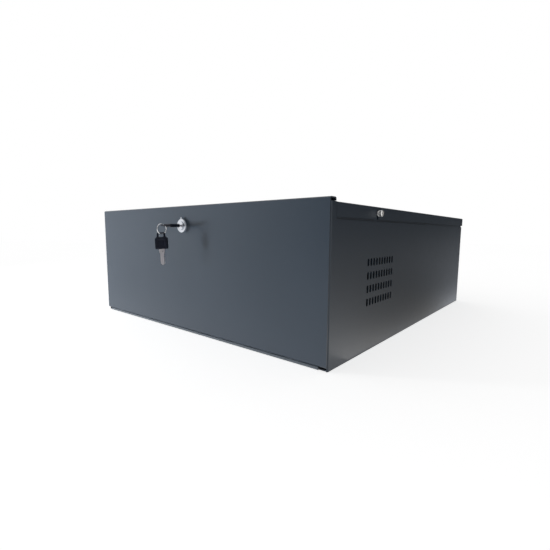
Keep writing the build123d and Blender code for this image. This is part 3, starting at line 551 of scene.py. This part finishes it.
def blade_grid(turn):
    """One blade: a helix-like sheet over radius and chord. The angle runs across the chord and sweeps
    forward with the radius, the depth rises along the chord with a camber, and the thickness thins to
    both edges."""
    reach = np.linspace(HUB_R - BLADE_BURIED, FAN_R, 24)[:, None]
    share = (reach - HUB_R) / (FAN_R - HUB_R)
    around = np.linspace(0.0, TURN, 40, endpoint=False)
    chord = -np.cos(around) * 0.5
    span = np.radians(BLADE_SPAN[0] + (BLADE_SPAN[1] - BLADE_SPAN[0]) * share)
    angle = turn + chord * span + np.radians(BLADE_SWEEP) * share ** 1.5
    thinning = np.sqrt(np.clip(1.0 - (2 * chord) ** 2 * 0.75, 0.05, 1.0)) * (1.0 - 0.25 * share)
    thick = BLADE_HALF_THICKNESS * np.sin(around) * thinning
    deep = BLADE_DEPTH[0] + (BLADE_DEPTH[1] - BLADE_DEPTH[0]) * share
    depth = HUB_LONG / 2 + chord * deep + BLADE_CAMBER * (1 - (2 * chord) ** 2) + thick
    return np.stack([reach * np.cos(angle), depth, reach * np.sin(angle)], -1)


fan_centre = np.array([middle("fan_rotor")[0], box_of("fan_rotor")[0][1],
                       box_of("fan_frame")[0][2] + FAN_SIZE / 2])
hub = hub_grid()[..., [0, 2, 1]] + fan_centre
dress(skin("fan_hub", hub), "fan_plastic", "rotor", "fan_rotor")
blades = [blade_grid(TURN * k / FAN_BLADES) + fan_centre for k in range(FAN_BLADES)]
dress(skin("fan_blades", blades, crease=60.0), "fan_plastic", "rotor", "fan_rotor")


# Rivets

RIVET_R, RIVET_HEAD_R, RIVET_HEAD_HEIGHT = 1.6, 3.0, 1.1
RIVET_TAIL_R, RIVET_TAIL_END, RIVET_GRIP = 2.55, 3.6, 2.5


def rivet_grid():
    """Blind rivet carried round its axis: the swollen tail, the shank, and a low dome with the
    mandrel's pit."""
    tail = [(0.05, -RIVET_TAIL_END), (1.5, -RIVET_TAIL_END), (RIVET_TAIL_R, -RIVET_GRIP - 0.5),
            (RIVET_TAIL_R, -RIVET_GRIP)]
    shank = [(RIVET_R, -RIVET_GRIP), (RIVET_R, 0.0)]
    dome = [(RIVET_HEAD_R, 0.0), (RIVET_HEAD_R, 0.15), (2.2, 0.95), (1.05, RIVET_HEAD_HEIGHT)]
    pit = [(0.85, 0.5), (0.05, 0.42)]
    easing = [0.3, 0.5, 0.1, 0.1, 0.1, 0.05, 0.07, 0.6, 0.15, 0.1]
    return turned(rounded(tail + shank + dome + pit, easing, 4), 32)


for node, body, count in (("lid_hinge_body_rivets", "case", 6), ("lid_hinge_lid_rivets", "lid", 5)):
    low, high = box_of(node)
    seat, z = high[1] - RIVET_HEAD_HEIGHT, middle(node)[2]
    row = np.linspace(low[0] + RIVET_HEAD_R, high[0] - RIVET_HEAD_R, count)
    rivets = [placed(rivet_grid(), (x, seat, z), (0, 1, 0)) for x in row]
    dress(skin(f"{node}_set", rivets), "rivet_steel", body, node)


# Fan screws

FAN_HEAD_R, FAN_HEAD_HEIGHT, FAN_THREAD_DEPTH = 3.8, 1.8, 0.2
CROSS_WIDTH, CROSS_REACH, CROSS_DEPTH = 1.1, 2.1, 1.2


def fan_screw_grid(length):
    """Pan-head screw carried round its axis. The radius dips by a helical wave along the thread, and the
    head sinks in a cross: where a point is near one arm's middle line and within the arm's reach."""
    top = length + FAN_HEAD_HEIGHT
    tip = [(0.2, 0.0), (SHANK_R - 0.5, 0.0)]
    shank_side = np.linspace((SHANK_R, 0.5), (SHANK_R, length), 110)
    head = rounded([(SHANK_R, length), (FAN_HEAD_R, length), (FAN_HEAD_R - 0.1, length + 1.0),
                    (2.4, top - 0.05), (0.1, top)], [0.1, 0.15, 0.7])
    # Even points across the face take the place of the head's last six.
    face = np.linspace((2.3, top), (0.1, top), 16)
    grid = turned(np.concatenate([tip, shank_side, head[:-6], face]), 72)
    radius, angle, height = polar(grid)
    threaded = (np.abs(radius - SHANK_R) < NEAR) & (height < length - 0.1)
    dip = FAN_THREAD_DEPTH * threaded * thread_wave(height, angle, THREAD_PITCH)
    grid[..., :2] *= ((radius - dip) / radius)[..., None]
    u, v = np.abs(grid[..., 0]), np.abs(grid[..., 1])
    near_line = ease((CROSS_WIDTH / 2 - np.minimum(u, v)) / 0.25)
    within_reach = ease((CROSS_REACH - np.maximum(u, v)) / 0.6)
    grid[..., 2] -= CROSS_DEPTH * near_line * within_reach * (height > length + 0.6)
    return grid


# Each screw stopped at its own angle, so each cross leans its own way.
low, high = box_of("fan_screws")
screw = fan_screw_grid(high[1] - low[1] - FAN_HEAD_HEIGHT)
corners = [(x, z) for x in (low[0] + FAN_HEAD_R, high[0] - FAN_HEAD_R)
           for z in (low[2] + FAN_HEAD_R, high[2] - FAN_HEAD_R)]
screws = [placed(screw, (x, low[1], z), (0, 1, 0), (0.4 + k, 0.0, 1.0))
          for k, (x, z) in enumerate(corners)]
dress(skin("fan_screws_turned", screws), "zinc_steel", "case", "fan_screws")


# Grommets

GROMMET_BORE_R, GROMMET_NECK_R, GROMMET_LIP_R, GROMMET_LIP = 11.0, 16.0, 18.5, 1.8


def grommet_grid(deep):
    """Closed profile carried round the hole: two rounded lips, the neck between them and the bore. The
    second lip mirrors the first."""
    lip = [(GROMMET_BORE_R, 0.9), (GROMMET_BORE_R + 1.0, 0.0), (GROMMET_LIP_R - 1.3, 0.0),
           (GROMMET_LIP_R, 0.9), (GROMMET_LIP_R, GROMMET_LIP), (GROMMET_NECK_R, GROMMET_LIP)]
    mirrored = [(radius, deep - height) for radius, height in reversed(lip)]
    easing = [0.5, 0.5, 0.8, 0.5, 0.15, 0.1]
    loop = [(GROMMET_BORE_R, deep / 2)] + lip + mirrored
    return turned_ring(rounded_loop(loop, [0.2] + easing + easing[::-1], 4), 72)


low, high = box_of("cable_grommets")
holes = [(x, low[1], (low[2] + high[2]) / 2) for x in (low[0] + GROMMET_LIP_R, high[0] - GROMMET_LIP_R)]
grommets = [placed(grommet_grid(high[1] - low[1]), hole, (0, 1, 0)) for hole in holes]
dress(skin("cable_grommets_moulded", grommets, True), "rubber", "case", "cable_grommets")


# Camera

# The photo's width and the fitted focal length in its pixels, and the sensor's width in millimetres.
FRAME_PIXELS, FOCAL_PIXELS, SENSOR = 550.0, 357.04, 36.0
CAMERA_PLACE = (0.4757, -0.6507, 0.1628)
YAW, PITCH, ROLL = math.radians(-39.724), math.radians(-6.816), math.radians(0.42)


def make_camera():
    """Camera from the least-squares fit to the box's corners in the photo. Yaw turns it away from
    the y axis, pitch tips it down, and roll turns it about its own line of sight."""
    data = bpy.data.cameras.new("camera")
    data.sensor_width = SENSOR
    data.lens = FOCAL_PIXELS / FRAME_PIXELS * SENSOR
    data.clip_start = 0.01
    obj = linked("camera", data)
    forward = np.array([math.sin(YAW) * math.cos(PITCH), math.cos(YAW) * math.cos(PITCH),
                        math.sin(PITCH)])
    level = np.array([math.cos(YAW), -math.sin(YAW), 0.0])
    upward = np.cross(level, forward)
    matrix = np.eye(4)
    matrix[:3, 0] = level * math.cos(ROLL) + upward * math.sin(ROLL)
    matrix[:3, 1] = upward * math.cos(ROLL) - level * math.sin(ROLL)
    matrix[:3, 2] = -forward
    matrix[:3, 3] = CAMERA_PLACE
    obj.matrix_world = Matrix(matrix.tolist())
    bpy.context.scene.camera = obj


make_camera()


# Studio

FLOOR_SPAN, FLOOR_GLOW = (-6.0, 6.0), 0.72

# Strength of the surroundings as light on the object, at the far left and at the far right.
WORLD_LIGHT = (0.60, 0.08)

KEY_PLACE, KEY_AIM, KEY_SIZE, KEY_POWER = (-0.88, -1.00, 0.10), (0.0, -0.3, 0.12), 0.15, 10.8

# Where the right side mirrors the camera, as x and y. Tones on the cards follow the bearing from there,
# which is how far x grows for each metre of y.
side_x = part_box("right_side_panel")[1][0]
MIRRORED_EYE = (2 * side_x - CAMERA_PLACE[0], CAMERA_PLACE[1])
CARD_LIFT = 0.001

# Tones as (bearing or place, level, warmth), in rising order. The warmth may be left out.
SIDE_TONES = [(0.20, 0.60, -0.06), (0.240, 0.62, -0.06), (0.270, 0.20, 0.0), (0.305, 0.035, 0.4),
              (0.373, 0.03, 0.4), (0.45, 0.14, 0.2), (0.55, 0.40, 0.05), (0.75, 0.60, 0.0)]
EVEN = [(0.0, 1.0), (1.0, 1.0)]


def sheet_mesh(name, corners, material):
    """A flat four-sided sheet for the studio."""
    mesh = bpy.data.meshes.new(name)
    mesh.from_pydata(corners, [], [(0, 1, 2, 3)])
    mesh.materials.append(material)
    return linked(name, mesh)


def upright(start, end, height):
    """Corners of a sheet that stands on the floor between two places."""
    return [(*start, 0.0), (*end, 0.0), (*end, height), (*start, height)]


def lying(x, y, z=CARD_LIFT):
    """Corners of a sheet that lies at a height, from its ranges of x and y."""
    return [(x[0], y[0], z), (x[1], y[0], z), (x[1], y[1], z), (x[0], y[1], z)]


def combine(tree, operation, first, second):
    """Maths on two values, or on a value and a number."""
    node = tree.nodes.new("ShaderNodeMath")
    node.operation = operation
    tree.links.new(first, node.inputs[0])
    if isinstance(second, float):
        node.inputs[1].default_value = second
    else:
        tree.links.new(second, node.inputs[1])
    return node.outputs[0]


def seen_rays(tree):
    """1 for camera, glossy and transmission rays, and 0 for the rays that light the object."""
    path = tree.nodes.new("ShaderNodeLightPath")
    seen = combine(tree, "MAXIMUM", path.outputs["Is Camera Ray"], path.outputs["Is Glossy Ray"])
    return combine(tree, "MAXIMUM", seen, path.outputs["Is Transmission Ray"])


def floor_material():
    """Pale floor that shows as white to the camera and to mirrors, and keeps the object's shadow."""
    material, tree, shader, coords = new_material("studio_floor")
    tone = ramp(tree, noise(tree, coords, scale=3.0), (0.80, 0.80, 0.80), (0.82, 0.82, 0.82))
    tree.links.new(tone, shader.inputs["Base Color"])
    glow = combine(tree, "MULTIPLY", seen_rays(tree), FLOOR_GLOW)
    tree.links.new(glow, shader.inputs["Emission Strength"])
    shader.inputs["Emission Color"].default_value = (1.0, 1.0, 1.0, 1.0)
    shader.inputs["Roughness"].default_value = 0.9
    shader.inputs["Specular IOR Level"].default_value = 0.0
    return material


def make_world():
    """Pale surroundings: white to the camera and to mirrors. As light on the object they are dimmer, and
    fade from the left to the right."""
    world = bpy.data.worlds.new("studio_world")
    bpy.context.scene.world = world
    world.use_nodes = True
    tree = world.node_tree
    back = tree.nodes["Background"]
    back.inputs["Color"].default_value = (1.0, 1.0, 1.0, 1.0)
    direction = tree.nodes.new("ShaderNodeTexCoord")
    split = tree.nodes.new("ShaderNodeSeparateXYZ")
    tree.links.new(direction.outputs["Generated"], split.inputs[0])
    fade = tree.nodes.new("ShaderNodeMapRange")
    fade.inputs["From Min"].default_value = -1.0
    fade.inputs["To Min"].default_value, fade.inputs["To Max"].default_value = WORLD_LIGHT
    tree.links.new(split.outputs["X"], fade.inputs["Value"])
    lit = tree.nodes.new("ShaderNodeMix")
    lit.data_type = "FLOAT"
    lit.inputs["B"].default_value = 1.0
    tree.links.new(fade.outputs["Result"], lit.inputs["A"])
    tree.links.new(seen_rays(tree), lit.inputs["Factor"])
    tree.links.new(lit.outputs["Result"], back.inputs["Strength"])


def make_key_light():
    """A small soft lamp low on the left, that mirrors don't show."""
    light = bpy.data.lights.new("key_light", "AREA")
    light.shape = "SQUARE"
    light.size = KEY_SIZE
    light.energy = KEY_POWER
    obj = linked("key_light", light)
    obj.location = KEY_PLACE
    obj.rotation_euler = (Vector(KEY_AIM) - Vector(KEY_PLACE)).to_track_quat("-Z", "Y").to_euler()
    obj.visible_glossy = False


def grey(level, warmth=0.0):
    """A grey of a level. Warmth adds red and takes blue away."""
    return level * (1 + warmth), level, level * (1 - 1.6 * warmth), 1.0


def tone_ramp(tree, value, tones):
    """Colour over a value, from tones in rising order."""
    low, high = tones[0][0], tones[-1][0]
    place = tree.nodes.new("ShaderNodeMapRange")
    place.inputs["From Min"].default_value, place.inputs["From Max"].default_value = low, high
    tree.links.new(value, place.inputs["Value"])
    shade = tree.nodes.new("ShaderNodeValToRGB")
    stops = shade.color_ramp.elements
    while len(stops) < len(tones):
        stops.new(0.5)
    for stop, (at, *tone) in zip(stops, tones):
        stop.position = (at - low) / (high - low)
        stop.color = grey(*tone)
    tree.links.new(place.outputs["Result"], shade.inputs["Fac"])
    return shade.outputs["Color"]


def reflection_card(name, corners, bearing_tones, *layers):
    """A sheet that only glossy rays meet, so that it shades reflections and nothing else. Its tone
    follows the bearing from a fixed point, and each layer multiplies it by or adds to it a tone along
    one axis."""
    material, tree, shader, coords = new_material(name)
    split = tree.nodes.new("ShaderNodeSeparateXYZ")
    tree.links.new(coords.outputs["Object"], split.inputs[0])
    from_eye = [combine(tree, "SUBTRACT", split.outputs[axis], place)
                for axis, place in zip("XY", MIRRORED_EYE)]
    tone = tone_ramp(tree, combine(tree, "DIVIDE", *from_eye), bearing_tones)
    for blend, axis, tones in layers:
        mix = tree.nodes.new("ShaderNodeMix")
        mix.data_type = "RGBA"
        mix.blend_type = blend
        mix.inputs["Factor"].default_value = 1.0
        tree.links.new(tone, mix.inputs["A"])
        tree.links.new(tone_ramp(tree, split.outputs[axis], tones), mix.inputs["B"])
        tone = mix.outputs["Result"]
    tree.links.new(tone, shader.inputs["Emission Color"])
    shader.inputs["Emission Strength"].default_value = 1.0
    shader.inputs["Base Color"].default_value = (0.0, 0.0, 0.0, 1.0)
    shader.inputs["Roughness"].default_value = 1.0
    shader.inputs["Specular IOR Level"].default_value = 0.0
    card = sheet_mesh(name, corners, material)
    card.visible_camera = False
    card.visible_diffuse = False
    card.visible_shadow = False
    card.visible_transmission = False


floor = sheet_mesh("studio_floor", lying(FLOOR_SPAN, FLOOR_SPAN, 0.0), floor_material())
make_world()
make_key_light()

# A wall and the floor beyond the right side shade its reflections. A wall and the floor before the door
# shade the door's.
reflection_card("right_wall", upright((0.10, 1.90), (1.9, 0.9), 2.4), SIDE_TONES,
                ("MULTIPLY", "Z", [(0.0, 1.0), (0.10, 0.7), (0.17, 0.42), (0.22, 0.20), (1.2, 0.05)]))
reflection_card("right_floor", lying((0.268, 1.9), (-0.25, 1.9)), SIDE_TONES,
                ("ADD", "Y", [(-0.25, 0.80), (-0.1, 0.38), (0.0, 0.22), (0.25, 0.12), (0.5, 0.0)]),
                ("ADD", "X", [(0.268, 0.40), (0.30, 0.22), (0.34, 0.02), (0.5, 0.0)]))
reflection_card("front_card", upright((-0.45, -1.2), (1.4, -1.2), 2.0), EVEN,
                ("MULTIPLY", "X", [(-0.45, 0.45), (-0.20, 0.20), (0.1, 0.05), (0.4, 0.02)]))
reflection_card("front_floor", lying((-3.0, 0.266), (-3.0, -0.31)), EVEN,
                ("MULTIPLY", "Y", [(-3.0, 1.0), (-0.8, 1.10), (-0.50, 1.10), (-0.31, 1.25)]),
                ("MULTIPLY", "X", [(-3.0, 0.9), (-0.5, 0.9), (-0.2, 1.0), (0.3, 1.0)]))

bpy.context.scene.view_settings.view_transform = "Standard"
